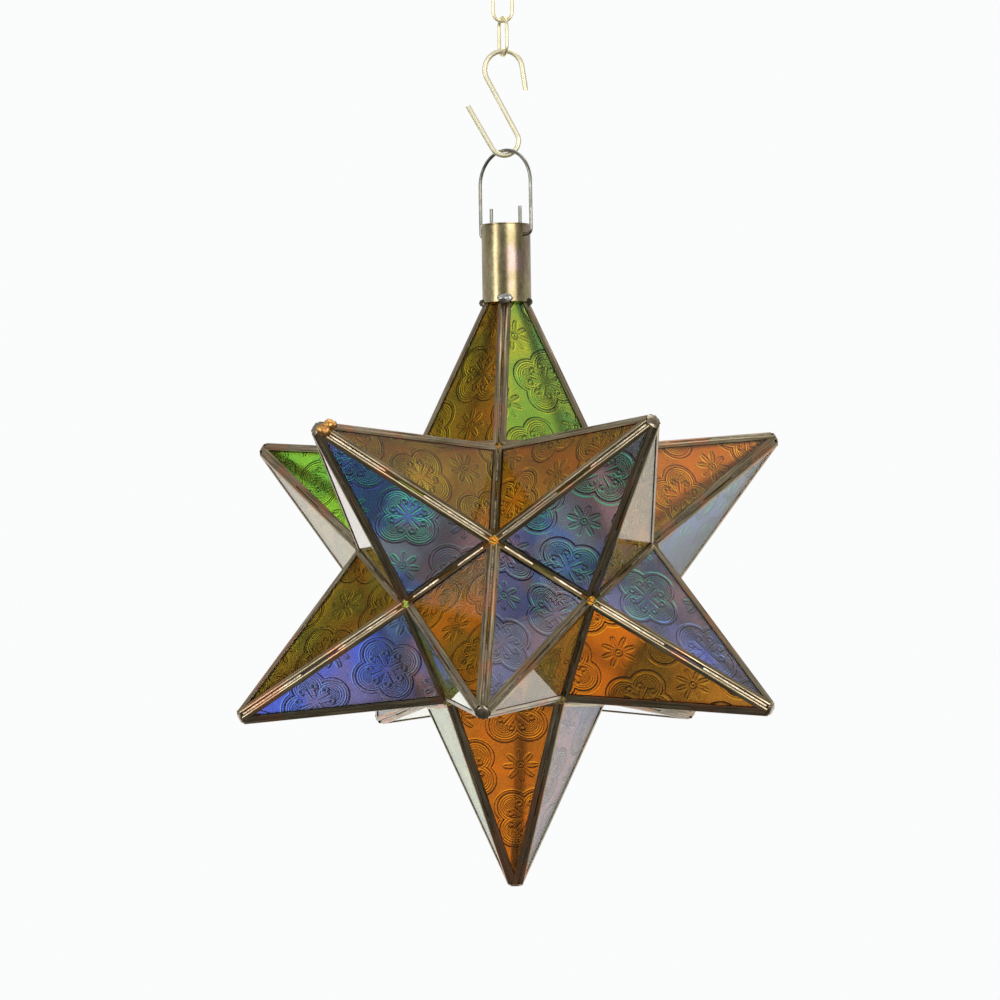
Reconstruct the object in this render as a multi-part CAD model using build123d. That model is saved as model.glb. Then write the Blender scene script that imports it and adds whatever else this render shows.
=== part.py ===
from build123d import *
from math import acos, asin, atan2, cos, degrees, hypot, pi, radians, sin, sqrt
import os

# A hanging star lantern of coloured glass: twelve five-sided points on the faces of a
# dodecahedron, sixty triangular panes, each pane edged with its own folded metal channel.
# A tube collar closes the top point. A wire bail swings in the collar, and an S-hook and two
# chain links carry the bail. All sizes are in millimetres, +Z is up, and the origin is the
# bearing inside the top of the upper chain link, where the next link or a ceiling hook pulls.

# ---- star ----
POINT_TO_POINT = 355.6          # between the blunt ends of opposite points, 14 inches
CORE_EDGE = 64.3                # edge of the inner dodecahedron, where two points meet
TIP_RADIUS = 3.6                # corner radius of the glass pentagon at a blunt end
TIP_CAP_HEIGHT = 1.2            # solder cap over the cut channel ends
TIP_CAP_CROWN = 3.0             # corner radius of the flat on top of that cap

# ---- glass and channel ----
GLASS_THICKNESS = 2.0
GLASS_CLEARANCE = 0.1           # between glass and channel, on faces and edge
GLASS_TIP_BACK = 0.5            # the glass stops this far short of the cut end of a point
CHANNEL_FLANGE = 0.4            # metal over each face of the glass
CHANNEL_HEART = 0.9             # metal behind the edge of the glass
CHANNEL_WIDTH = 3.2             # strip seen along every edge of a pane
FOLD_FLATS = 4                  # the round back of the fold is drawn with this many flats
SEAM_GAP = 0.1                  # between the folds of two neighbouring channels
CORNER_CLIP = 2.6               # channels stop this far from a corner of the dodecahedron
GLASS_CORNER_BACK = 0.7         # and the glass this much further back

# ---- solder ----
SEAM_WIDTH = 0.9                # of the solder run in the groove between two channels
SEAM_DEPTH = 0.8
SEAM_BELOW_FACE = 0.35          # run stops this far under the outer face of the channels
SEAM_END_CLEARANCE = 1.5        # between a seam run and the cut ends of its channels
RIDGE_SLIT = 26.0               # stretch of each ridge left open between its two runs
VALLEY_SLIT = 14.0              # the same at each valley
COLLAR_BEAD_RADIUS = 2.2        # solder beads that hold the collar on the top point

# ---- collar ----
COLLAR_OUTER_RADIUS = 14.1
COLLAR_WALL = 0.6
COLLAR_HEIGHT = 45.4
COLLAR_SEAT_CLEARANCE = 0.1     # between the collar's bore and the ridges of the top point
COLLAR_LAP = 4.0                # how far the top point runs up inside the collar
COLLAR_RIM_ROLL = 0.45          # half the height of the bead rolled round the rim, and its reach
PIVOT_BELOW_RIM = 6.6

# ---- wire ----
WIRE_FLATS = 12                 # the round section of every wire is drawn with this many flats
WIRE_GAP = 0.15                 # between two wires that bear on each other
BAIL_NEST_GAP = 0.4             # the bail crosses the hook at a slant, so it rides higher

# ---- bail ----
BAIL_WIRE = 2.0
BAIL_HOLE_CLEARANCE = 0.08      # radial, running fit
BAIL_HALF_WIDTH = 19.5          # to the wire's centre
BAIL_HEIGHT = 49.8              # from pivot to the top of the arch, wire centres
BAIL_SHOULDER_BEND = 3.0        # where a leg turns in to its hole
BAIL_END_BEND = 2.0             # where the end turns up inside the collar
BAIL_END_CLEARANCE = 1.4        # between the turned-up end and the bore of the collar
BAIL_END_LENGTH = 16.7          # of the turned-up end, above the pivot
BAIL_YAW = -36.0

# ---- S-hook ----
HOOK_WIRE = 3.0
HOOK_TOP_RADIUS = 10.9          # to the wire's centre
HOOK_BOTTOM_RADIUS = 8.2
HOOK_HEIGHT = 60.8              # between the two bearing points, wire centres
HOOK_TIP_LEAN = 8.0             # degrees, upper tip from the vertical
HOOK_TIP_LENGTH = 14.0          # straight length of the upper tip
HOOK_TAIL_LEAN = 29.0           # degrees, lower tip from the vertical
HOOK_TAIL_LENGTH = 28.5         # straight length of the lower tip

# ---- chain ----
LINK_WIRE = 2.0
LINK_LENGTH = 24.0              # over the wire
LINK_WIDTH = 13.0
LOWER_LINK_YAW = -60.0

# ---- worked out from the sizes above ----
FOLD_RADIUS = GLASS_THICKNESS / 2 + GLASS_CLEARANCE + CHANNEL_FLANGE
COLLAR_INNER_RADIUS = COLLAR_OUTER_RADIUS - COLLAR_WALL
CORE_DIHEDRAL = 2 * atan2(1 + sqrt(5), 2)                        # of a dodecahedron
CORE_RADIUS = CORE_EDGE / (2 * sin(pi / 5))                      # of one face, to its corners
CORE_APOTHEM = CORE_RADIUS * cos(pi / 5)                         # of one face, to its edges
CORE_HEIGHT = CORE_APOTHEM / cos(CORE_DIHEDRAL / 2) * sin(CORE_DIHEDRAL / 2)
TIP_CUT = POINT_TO_POINT / 2 - TIP_CAP_HEIGHT - CORE_HEIGHT      # above the face of the core
APEX = TIP_CUT * CORE_RADIUS / (CORE_RADIUS - TIP_RADIUS)
SLANT = hypot(APEX, CORE_APOTHEM)                                # up the middle of a pane
RIDGE = hypot(APEX, CORE_RADIUS)                                 # up a ridge
PANE_TILT = atan2(CORE_APOTHEM, APEX)                            # pane from the point's axis
RIDGE_TILT = atan2(CORE_RADIUS, APEX)                            # ridge from the point's axis
FIFTH = 72.0

# angle between the two panes that meet at a ridge, and at a valley
RIDGE_ANGLE = pi - acos(cos(PANE_TILT) ** 2 * cos(radians(FIFTH)) + sin(PANE_TILT) ** 2)
VALLEY_ANGLE = 2 * pi - CORE_DIHEDRAL - 2 * (pi / 2 - PANE_TILT)


def fold_setback(angle):
    """From the line where two panes' middles meet to the centre of either channel's fold."""
    return (FOLD_RADIUS + SEAM_GAP / 2) / sin(angle / 2)


RIDGE_INSET = fold_setback(RIDGE_ANGLE) - FOLD_RADIUS
VALLEY_INSET = fold_setback(VALLEY_ANGLE) - FOLD_RADIUS

# Beside a ridge, the centre of a channel's fold lies this far in from the ridge and to its side,
# both measured level.
BASE_CORNER = atan2(SLANT, CORE_EDGE / 2)                        # angle of a pane at its base
HALF_PENTAGON = pi * 3 / 10
FOLD_IN = fold_setback(RIDGE_ANGLE) / sin(BASE_CORNER) * cos(HALF_PENTAGON)
FOLD_ASIDE = fold_setback(RIDGE_ANGLE) / sin(BASE_CORNER) * sin(HALF_PENTAGON)
FOLD_REACH = FOLD_RADIUS / cos(RIDGE_TILT)

# The collar slips over the top point until its bore meets the channels beside the ridges.
SEAT_ROOM = COLLAR_INNER_RADIUS - COLLAR_SEAT_CLEARANCE - FOLD_REACH
SEAT_RADIUS = FOLD_IN + sqrt(SEAT_ROOM ** 2 - FOLD_ASIDE ** 2)   # of the glass pentagon there
COLLAR_SEAT = APEX * (1 - SEAT_RADIUS / CORE_RADIUS)             # above the core's face
TOP_CUT = COLLAR_SEAT + COLLAR_LAP
TIP_CAP_RADIUS = hypot(TIP_RADIUS - FOLD_IN, FOLD_ASIDE) + FOLD_REACH

# heights of the hanging pieces, from the origin down
UPPER_LINK_TOP = LINK_WIRE / 2
UPPER_LINK_BOTTOM = UPPER_LINK_TOP - (LINK_LENGTH - LINK_WIRE)
LOWER_LINK_TOP = UPPER_LINK_BOTTOM + LINK_WIRE + WIRE_GAP
LOWER_LINK_BOTTOM = LOWER_LINK_TOP - (LINK_LENGTH - LINK_WIRE)
HOOK_TOP = LOWER_LINK_BOTTOM + (LINK_WIRE + HOOK_WIRE) / 2 + WIRE_GAP
HOOK_BOTTOM = HOOK_TOP - HOOK_HEIGHT
BAIL_TOP = HOOK_BOTTOM + (HOOK_WIRE + BAIL_WIRE) / 2 + BAIL_NEST_GAP
PIVOT = BAIL_TOP - BAIL_HEIGHT
COLLAR_RIM = PIVOT + PIVOT_BELOW_RIM
COLLAR_BOTTOM = COLLAR_RIM - COLLAR_HEIGHT
STAR_CENTRE = COLLAR_BOTTOM - COLLAR_SEAT - CORE_HEIGHT

# ---- the twelve points ----
RING_HEIGHT = 1 / sqrt(5)


def direction(azimuth, height):
    """Unit vector from the star's centre; azimuth 0 is the front (-Y) and grows towards +X."""
    level = sqrt(1 - height ** 2)
    return Vector(level * sin(radians(azimuth)), -level * cos(radians(azimuth)), height)


POINTS = {
    "top": direction(0, 1),
    "upper_front_left": direction(-36, RING_HEIGHT),
    "upper_front_right": direction(36, RING_HEIGHT),
    "upper_right": direction(108, RING_HEIGHT),
    "upper_back": direction(180, RING_HEIGHT),
    "upper_left": direction(-108, RING_HEIGHT),
    "lower_front": direction(0, -RING_HEIGHT),
    "lower_right": direction(72, -RING_HEIGHT),
    "lower_back_right": direction(144, -RING_HEIGHT),
    "lower_back_left": direction(-144, -RING_HEIGHT),
    "lower_left": direction(-72, -RING_HEIGHT),
    "bottom": direction(0, -1),
}

# The colours of a point's five panes, counterclockwise seen from outside. The first pane faces
# the top point, or the bottom point on the lower ring, or the front on the top and bottom points.
PANE_COLOURS = {
    "top": "amber green blue amber green",
    "upper_front_left": "green blue amber blue amber",
    "upper_front_right": "green amber blue amber green",
    "upper_right": "amber amber blue green amber",
    "upper_back": "blue amber green amber green",
    "upper_left": "amber green green amber green",
    "lower_front": "blue amber blue amber green",
    "lower_right": "green blue amber blue amber",
    "lower_back_right": "blue amber amber green green",
    "lower_back_left": "green blue green amber amber",
    "lower_left": "green blue amber green blue",
    "bottom": "amber green amber amber blue",
}
FIRST_NEIGHBOUR = {"top": "upper_front_left", "bottom": "lower_front"}


def point_location(name):
    """Puts a point built on Z over the core's face; its first pane is towards its first neighbour."""
    axis = POINTS[name]
    pole = "top" if name.startswith("upper") else "bottom"
    first = POINTS[FIRST_NEIGHBOUR.get(name, pole)]
    across = first - axis * first.dot(axis)
    centre = Vector(0, 0, STAR_CENTRE) + axis * CORE_HEIGHT
    return Location(Plane(origin=centre, x_dir=across, z_dir=axis))


# ---- panes and their channels, drawn in the plane of a pane ----
# X runs along the base of the pane, Y up its middle, and Z out of the lantern.
PANE_PLANE = Plane(origin=(CORE_APOTHEM, 0, 0), x_dir=(0, 1, 0),
                   z_dir=(cos(PANE_TILT), 0, sin(PANE_TILT)))
HALF_BASE = CORE_EDGE / 2
FULL_PANE = [Vector(-HALF_BASE, 0), Vector(HALF_BASE, 0), Vector(0, SLANT)]
FULL_INSETS = [VALLEY_INSET, RIDGE_INSET, RIDGE_INSET]
TOP_REACH = TOP_CUT / cos(PANE_TILT)
TOP_HALF = HALF_BASE * (1 - TOP_REACH / SLANT)
TOP_PANE = [Vector(-HALF_BASE, 0), Vector(HALF_BASE, 0), Vector(TOP_HALF, TOP_REACH), Vector(-TOP_HALF, TOP_REACH)]
TOP_INSETS = [VALLEY_INSET, RIDGE_INSET, 0, RIDGE_INSET]


def inset_corners(corners, insets):
    """Corners of a counterclockwise outline after each side has moved in by its own inset."""
    sides = []
    for start, end, inset in zip(corners, corners[1:] + corners[:1], insets):
        along = (end - start).normalized()
        sides.append((start + Vector(-along.Y, along.X) * inset, along))
    moved = []
    for (start, along), (other, across) in zip(sides[-1:] + sides[:-1], sides):
        reach = (other - start).cross(across).Z / along.cross(across).Z
        moved.append(start + along * reach)
    return moved


def clip_base_corners(solid, corners, distance):
    """Cuts a pane or its channel square across the two corners at its base."""
    for corner, before, after in ((corners[0], corners[-1], corners[1]), (corners[1], corners[0], corners[2])):
        middle = ((before - corner).normalized() + (after - corner).normalized()).normalized()
        solid = split(solid, bisect_by=Plane(origin=corner + middle * distance, z_dir=middle), keep=Keep.TOP)
    return solid


def channel_section():
    """U section of the channel: X runs in from the fold, and the slot takes the glass."""
    slot = GLASS_THICKNESS / 2 + GLASS_CLEARANCE
    turns = [pi * (step / FOLD_FLATS - 0.5) for step in range(FOLD_FLATS + 1)]
    fold = [(FOLD_RADIUS * (1 - cos(turn)), FOLD_RADIUS * sin(turn)) for turn in turns]
    mouth = [(CHANNEL_WIDTH, FOLD_RADIUS), (CHANNEL_WIDTH, slot), (CHANNEL_HEART, slot),
             (CHANNEL_HEART, -slot), (CHANNEL_WIDTH, -slot), (CHANNEL_WIDTH, -FOLD_RADIUS)]
    return make_face(Polyline(*fold, *mouth, close=True))


def channel_frame(corners, insets):
    """Channel folded round a pane, mitred at its corners."""
    outline = inset_corners(corners, insets)
    count = len(outline)
    frame = None
    for side in range(count):
        before, start, end, after = (outline[(side + step) % count] for step in (-1, 0, 1, 2))
        along = (end - start).normalized()
        inward = Vector(-along.Y, along.X)
        bar = extrude(Plane(origin=start, x_dir=inward, z_dir=along) * channel_section(), (end - start).length)
        for corner, away, other in ((start, along, before), (end, along * -1, after)):
            mitre = away + (other - corner).normalized()
            facing = mitre.cross(Vector(0, 0, 1))
            facing = facing if facing.dot(away) > 0 else facing * -1
            bar = split(bar, bisect_by=Plane(origin=corner, x_dir=mitre, z_dir=facing), keep=Keep.TOP)
        frame = bar if frame is None else frame + bar
    return clip_base_corners(frame, corners, CORNER_CLIP)


def glass_pane(corners, insets):
    """Glass that fills its channel's slot to the clearance."""
    outline = inset_corners(corners, [inset + CHANNEL_HEART + GLASS_CLEARANCE for inset in insets])
    glass = extrude(make_face(Polyline(*outline, close=True)), GLASS_THICKNESS / 2, both=True)
    return clip_base_corners(glass, corners, CORNER_CLIP + GLASS_CORNER_BACK)


def stand_on_point(flat, height):
    """Tips a pane's drawing up to its place on the point and cuts it level at the height."""
    standing = PANE_PLANE.location * flat
    return split(standing, bisect_by=Plane.XY.offset(height), keep=Keep.BOTTOM)


full_frame = stand_on_point(channel_frame(FULL_PANE, FULL_INSETS), TIP_CUT)
full_glass = stand_on_point(glass_pane(FULL_PANE, FULL_INSETS), TIP_CUT - GLASS_TIP_BACK)
top_frame = PANE_PLANE.location * channel_frame(TOP_PANE, TOP_INSETS)
top_glass = PANE_PLANE.location * glass_pane(TOP_PANE, TOP_INSETS)


# ---- solder in the grooves, over the tips and at the collar ----
def seam_run(start, end, outward, angle, sign):
    """Solder in the groove between two channels that meet along the line from start to end."""
    along = (end - start).normalized()
    middle = outward * (sign * fold_setback(angle) * cos(angle / 2))
    top = FOLD_RADIUS - SEAM_BELOW_FACE
    groove = Plane(origin=start + middle, x_dir=outward.cross(along), z_dir=along)
    section = make_face(Polyline((-SEAM_WIDTH / 2, top), (0, top - SEAM_DEPTH), (SEAM_WIDTH / 2, top), close=True))
    return extrude(groove * section, (end - start).length)


def two_runs(start, end, slit):
    """Ends of the two solder runs on a seam, either side of its open slit."""
    along = (end - start).normalized()
    length = (end - start).length
    reach = (length - slit) / 2
    return [(start, start + along * reach), (end - along * reach, end)]


def ridge_seams(top_height):
    """Solder on the five ridges of a point, up to this height."""
    seams = []
    for ridge in range(5):
        turn = radians(FIFTH * (ridge + 0.5))
        corner = Vector(CORE_RADIUS * cos(turn), CORE_RADIUS * sin(turn), 0)
        along = (Vector(0, 0, APEX) - corner).normalized()
        outward = Vector(cos(turn) * cos(RIDGE_TILT), sin(turn) * cos(RIDGE_TILT), sin(RIDGE_TILT))
        first = corner + along * (CORNER_CLIP * 2 + SEAM_END_CLEARANCE)
        last = corner + along * (top_height / cos(RIDGE_TILT) - SEAM_END_CLEARANCE)
        for start, end in two_runs(first, last, RIDGE_SLIT):
            seams.append(seam_run(start, end, outward, RIDGE_ANGLE, -1))
    return seams


def valley_seams():
    """Solder on the thirty edges of the dodecahedron, between neighbouring points."""
    seams = []
    names = list(POINTS)
    centre = Vector(0, 0, STAR_CENTRE)
    for index, name in enumerate(names):
        for other in names[index + 1:]:
            first, second = POINTS[name], POINTS[other]
            if first.dot(second) < 0.4:
                continue
            outward = (first + second).normalized()
            along = first.cross(second).normalized()
            middle = centre + outward * (CORE_HEIGHT / sin(CORE_DIHEDRAL / 2))
            reach = along * (CORE_EDGE / 2 - CORNER_CLIP * 2 - SEAM_END_CLEARANCE)
            for start, end in two_runs(middle - reach, middle + reach, VALLEY_SLIT):
                seams.append(seam_run(start, end, outward, VALLEY_ANGLE, 1))
    return seams


def tip_cap():
    """Five-sided pad of solder with a sloping edge, over the cut channel ends of a point."""
    base = Plane.XY.offset(TIP_CUT) * RegularPolygon(TIP_CAP_RADIUS, 5, rotation=FIFTH / 2)
    edge = Plane.XY.offset(TIP_CUT + TIP_CAP_HEIGHT / 3) * RegularPolygon(TIP_CAP_RADIUS, 5, rotation=FIFTH / 2)
    crown = Plane.XY.offset(TIP_CUT + TIP_CAP_HEIGHT) * RegularPolygon(TIP_CAP_CROWN, 5, rotation=FIFTH / 2)
    return loft([base, edge], ruled=True) + loft([edge, crown], ruled=True)


# ---- turned and bent pieces ----
def bent_wire(path, diameter):
    """Wire along a path of lines and tangent arcs; its round section is drawn with flats."""
    return sweep(Plane(origin=path @ 0, z_dir=path % 0) * RegularPolygon(diameter / 2, WIRE_FLATS), path=path)


def collar():
    """Tube with a rim rolled outwards and two holes for the ends of the bail."""
    tube = Pos(0, 0, COLLAR_BOTTOM) * Cylinder(COLLAR_OUTER_RADIUS, COLLAR_HEIGHT,
                                               align=(Align.CENTER, Align.CENTER, Align.MIN))
    lip = COLLAR_OUTER_RADIUS + COLLAR_RIM_ROLL
    roll = Polyline((COLLAR_INNER_RADIUS, COLLAR_RIM), (COLLAR_OUTER_RADIUS, COLLAR_RIM),
                    (lip, COLLAR_RIM - COLLAR_RIM_ROLL / 2), (lip, COLLAR_RIM - COLLAR_RIM_ROLL * 1.5),
                    (COLLAR_OUTER_RADIUS, COLLAR_RIM - COLLAR_RIM_ROLL * 2),
                    (COLLAR_INNER_RADIUS, COLLAR_RIM - COLLAR_RIM_ROLL * 2), close=True)
    rim = revolve(Plane.XZ * make_face(roll), Axis.Z)
    bore = Pos(0, 0, COLLAR_BOTTOM - 1) * Cylinder(COLLAR_INNER_RADIUS, COLLAR_HEIGHT + 2,
                                                   align=(Align.CENTER, Align.CENTER, Align.MIN))
    holes = Pos(0, 0, PIVOT) * Rot(0, 90, 0) * Cylinder(BAIL_WIRE / 2 + BAIL_HOLE_CLEARANCE,
                                                        4 * COLLAR_OUTER_RADIUS)
    return tube + rim - bore - Rot(0, 0, BAIL_YAW) * holes


def bail():
    """Arch of wire; each end passes in through a hole of the collar and turns up behind it."""
    end_radius = COLLAR_INNER_RADIUS - BAIL_END_CLEARANCE - BAIL_WIRE / 2
    spring_line = BAIL_TOP - BAIL_HALF_WIDTH
    with BuildLine(Plane.XZ) as path:
        Line((end_radius, PIVOT + BAIL_END_LENGTH), (end_radius, PIVOT + BAIL_END_BEND))
        CenterArc((end_radius + BAIL_END_BEND, PIVOT + BAIL_END_BEND), BAIL_END_BEND, 180, 90)
        Line((end_radius + BAIL_END_BEND, PIVOT), (BAIL_HALF_WIDTH - BAIL_SHOULDER_BEND, PIVOT))
        CenterArc((BAIL_HALF_WIDTH - BAIL_SHOULDER_BEND, PIVOT + BAIL_SHOULDER_BEND), BAIL_SHOULDER_BEND, 270, 90)
        Line((BAIL_HALF_WIDTH, PIVOT + BAIL_SHOULDER_BEND), (BAIL_HALF_WIDTH, spring_line))
        CenterArc((0, spring_line), BAIL_HALF_WIDTH, 0, 90)
    half = bent_wire(path.line, BAIL_WIRE)
    return Rot(0, 0, BAIL_YAW) * (half + half.mirror(Plane.YZ))


def on_circle(centre, radius, turn):
    """Point on a circle about (0, centre) in the plane of a bent wire; turn in degrees."""
    return (radius * cos(radians(turn)), centre + radius * sin(radians(turn)))


def s_hook():
    """Hook whose two bearing points lie on one vertical line."""
    upper = HOOK_TOP - HOOK_TOP_RADIUS
    lower = HOOK_BOTTOM + HOOK_BOTTOM_RADIUS
    lean = degrees(asin((HOOK_TOP_RADIUS + HOOK_BOTTOM_RADIUS) / (upper - lower)))
    tip_start = on_circle(upper, HOOK_TOP_RADIUS, HOOK_TIP_LEAN)
    tip = (tip_start[0] + HOOK_TIP_LENGTH * sin(radians(HOOK_TIP_LEAN)),
           tip_start[1] - HOOK_TIP_LENGTH * cos(radians(HOOK_TIP_LEAN)))
    tail_start = on_circle(lower, HOOK_BOTTOM_RADIUS, 180 + HOOK_TAIL_LEAN)
    tail = (tail_start[0] - HOOK_TAIL_LENGTH * sin(radians(HOOK_TAIL_LEAN)),
            tail_start[1] + HOOK_TAIL_LENGTH * cos(radians(HOOK_TAIL_LEAN)))
    with BuildLine(Plane.XZ) as path:
        Line(tip, tip_start)
        CenterArc((0, upper), HOOK_TOP_RADIUS, HOOK_TIP_LEAN, 180 + lean - HOOK_TIP_LEAN)
        Line(on_circle(upper, HOOK_TOP_RADIUS, 180 + lean), on_circle(lower, HOOK_BOTTOM_RADIUS, lean))
        CenterArc((0, lower), HOOK_BOTTOM_RADIUS, 180 + HOOK_TAIL_LEAN, 180 + lean - HOOK_TAIL_LEAN)
        Line(tail_start, tail)
    return bent_wire(path.line, HOOK_WIRE)


def chain_link(top, yaw):
    """Oval link with its uppermost wire centre at this height."""
    half_width = (LINK_WIDTH - LINK_WIRE) / 2
    upper = top - half_width
    lower = top - (LINK_LENGTH - LINK_WIRE) + half_width
    with BuildLine(Plane.XZ) as path:
        Line((half_width, lower), (half_width, upper))
        CenterArc((0, upper), half_width, 0, 180)
        Line((-half_width, upper), (-half_width, lower))
        CenterArc((0, lower), half_width, 180, 180)
    return Rot(0, 0, yaw) * bent_wire(path.line, LINK_WIRE)


# ---- assembly ----
nodes = {
    "chain_link_upper": [chain_link(UPPER_LINK_TOP, 0)],
    "chain_link_lower": [chain_link(LOWER_LINK_TOP, LOWER_LINK_YAW)],
    "s_hook": [s_hook()],
    "bail": [bail()],
    "collar": [collar()],
    "solder_tip_caps": [],
    "solder_ridge_seams": [],
    "solder_valley_seams": valley_seams(),
}
for point, colours in PANE_COLOURS.items():
    place = point_location(point)
    frame, glass = (top_frame, top_glass) if point == "top" else (full_frame, full_glass)
    nodes[f"channel_frames_{point}"] = [place * Rot(0, 0, FIFTH * turn) * frame for turn in range(5)]
    for turn, colour in enumerate(colours.split()):
        nodes.setdefault(f"glass_{colour}_{point}", []).append(place * Rot(0, 0, FIFTH * turn) * glass)
    seam_top = COLLAR_SEAT - COLLAR_BEAD_RADIUS if point == "top" else TIP_CUT
    nodes["solder_ridge_seams"] += [place * seam for seam in ridge_seams(seam_top)]
    if point != "top":
        nodes["solder_tip_caps"].append(place * tip_cap())


def collar_beads():
    """Solder in the corner between the collar's lower edge and each ridge of the top point."""
    inside = Pos(0, 0, COLLAR_BOTTOM) * Cylinder(COLLAR_OUTER_RADIUS, COLLAR_HEIGHT,
                                                 align=(Align.CENTER, Align.CENTER, Align.MIN))
    profile = Polyline((0, -COLLAR_BEAD_RADIUS), *[(COLLAR_BEAD_RADIUS * cos(turn), COLLAR_BEAD_RADIUS * sin(turn))
                                                   for turn in (-pi / 4, 0, pi / 4)], (0, COLLAR_BEAD_RADIUS), close=True)
    bead = extrude(Plane.XZ * make_face(profile), 1)
    beads = []
    for ridge in range(5):
        place = point_location("top") * Rot(0, 0, FIFTH * (ridge + 0.5))
        ball = place * Pos(COLLAR_OUTER_RADIUS, 0, COLLAR_SEAT) * bead
        channels = [nodes["channel_frames_top"][(ridge + step) % 5] for step in (0, 1)]
        beads.append((ball - inside - channels).solids().sort_by(SortBy.VOLUME)[-1])
    return beads


nodes["solder_collar_beads"] = collar_beads()

os.makedirs("parts", exist_ok=True)
for name, solids in nodes.items():
    pieces = [solid for item in solids for solid in item.solids()]
    export_step(pieces[0] if len(pieces) == 1 else Compound(children=pieces), f"parts/{name}.step")

for label, height in (("star centre", STAR_CENTRE), ("collar bottom", COLLAR_BOTTOM), ("collar rim", COLLAR_RIM),
                      ("pivot", PIVOT), ("bail top", BAIL_TOP), ("hook bottom", HOOK_BOTTOM), ("hook top", HOOK_TOP),
                      ("lower link bottom", LOWER_LINK_BOTTOM), ("lower link top", LOWER_LINK_TOP),
                      ("upper link bottom", UPPER_LINK_BOTTOM)):
    print(f"{label}: {height:.3f} mm")
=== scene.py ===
# %% [markdown]
# # A star lantern of figured glass
#
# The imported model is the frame: every chain link, channel and pane already has its real shape and
# place. This lesson gives each of them its finish, and remakes the panes so that the pattern rolled
# into the glass follows each pane. Lengths are in metres, with +Z up and the front towards -Y.

# %% Load the frame
import bmesh
import bpy
from math import pi, radians
from mathutils import Matrix, Vector, noise as noise_field


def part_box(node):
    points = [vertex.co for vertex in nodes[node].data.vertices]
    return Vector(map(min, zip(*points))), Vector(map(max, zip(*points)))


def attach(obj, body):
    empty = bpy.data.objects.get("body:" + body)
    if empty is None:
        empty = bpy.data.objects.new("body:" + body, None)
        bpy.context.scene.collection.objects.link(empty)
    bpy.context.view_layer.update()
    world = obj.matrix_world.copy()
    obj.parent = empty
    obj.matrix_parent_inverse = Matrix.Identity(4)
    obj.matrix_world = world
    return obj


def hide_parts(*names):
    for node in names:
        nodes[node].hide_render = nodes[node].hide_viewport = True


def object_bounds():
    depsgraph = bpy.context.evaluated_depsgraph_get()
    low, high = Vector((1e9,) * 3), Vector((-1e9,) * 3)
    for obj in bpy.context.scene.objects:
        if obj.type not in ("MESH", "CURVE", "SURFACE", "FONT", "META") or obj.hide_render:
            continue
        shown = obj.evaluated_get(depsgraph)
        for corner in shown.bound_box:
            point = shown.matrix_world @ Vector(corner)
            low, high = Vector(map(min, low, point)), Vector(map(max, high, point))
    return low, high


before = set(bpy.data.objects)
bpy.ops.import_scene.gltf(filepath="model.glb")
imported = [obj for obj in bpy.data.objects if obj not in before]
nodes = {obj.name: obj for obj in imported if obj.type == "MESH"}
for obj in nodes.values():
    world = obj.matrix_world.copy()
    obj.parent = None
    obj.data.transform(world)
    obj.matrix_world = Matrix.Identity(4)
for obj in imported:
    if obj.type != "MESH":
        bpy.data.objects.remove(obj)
cad_low, cad_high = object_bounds()
MM = 0.001

# %% [markdown]
# The star is the natural place to aim from, and the panes are laid out from it as well. The top
# point is cut short in the collar, so the centre is found from the lowest cap and the known distance
# between opposite points.

# %% Find the star's centre
POINT_TO_POINT = 355.6 * MM
STAR_CENTRE = Vector((0, 0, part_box("solder_tip_caps")[0].z + POINT_TO_POINT / 2))
print("star centre at", round(STAR_CENTRE.z, 4))

# %% [markdown]
# The photograph was taken from nearly three metres away with a long lens. Its view is a small turn
# of the star about each axis. The camera stands where that turn puts it, looks straight at the
# middle of the picture and needs no shift, so the same camera also works from every other side.

# %% Camera
PICTURE_PIXELS = 1000
STAR_PIXEL = Vector((511.0, 576.4))          # where the star's centre lies in the picture
CAMERA_DISTANCE = 2.80
METRES_PER_PIXEL = 0.5755 * MM               # at the star's centre
VIEW_YAW, VIEW_PITCH, VIEW_ROLL = radians(-5.95), radians(-2.05), radians(-0.85)
SENSOR_WIDTH = 36
FARTHEST_SEEN = 50

turn = Matrix.Rotation(VIEW_ROLL, 3, "Y") @ Matrix.Rotation(VIEW_PITCH, 3, "X")
turn = turn @ Matrix.Rotation(VIEW_YAW, 3, "Z")
right, ahead, up = (turn.transposed() @ Vector(axis) for axis in ((1, 0, 0), (0, 1, 0), (0, 0, 1)))
eye = STAR_CENTRE - ahead * CAMERA_DISTANCE
off_centre = (Vector((PICTURE_PIXELS, PICTURE_PIXELS)) / 2 - STAR_PIXEL) * METRES_PER_PIXEL
aim = STAR_CENTRE + right * off_centre.x - up * off_centre.y

camera_data = bpy.data.cameras.new("camera")
camera_data.sensor_width = SENSOR_WIDTH
camera_data.lens = SENSOR_WIDTH * CAMERA_DISTANCE / (PICTURE_PIXELS * METRES_PER_PIXEL)
camera_data.clip_end = FARTHEST_SEEN
camera = bpy.data.objects.new("camera", camera_data)
bpy.context.scene.collection.objects.link(camera)
gaze = (aim - eye).normalized()
side = gaze.cross(up).normalized()
facing = Matrix((side, side.cross(gaze), -gaze)).transposed().to_4x4()
camera.matrix_world = Matrix.Translation(eye) @ facing
bpy.context.scene.camera = camera
print("camera at", [round(value, 3) for value in eye], "lens", round(camera_data.lens, 1))

# %% [markdown]
# A shader is a small graph, and most of its nodes do the same few jobs. These helpers add a node,
# join it to the ones before it and hand back its output, so a finish below reads like a recipe.

# %% Node helpers


def new_material(name):
    """An empty node material with its Principled shader, and the tree to build in."""
    material = bpy.data.materials.new(name)
    material.use_nodes = True
    return material, material.node_tree, material.node_tree.nodes["Principled BSDF"]


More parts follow.
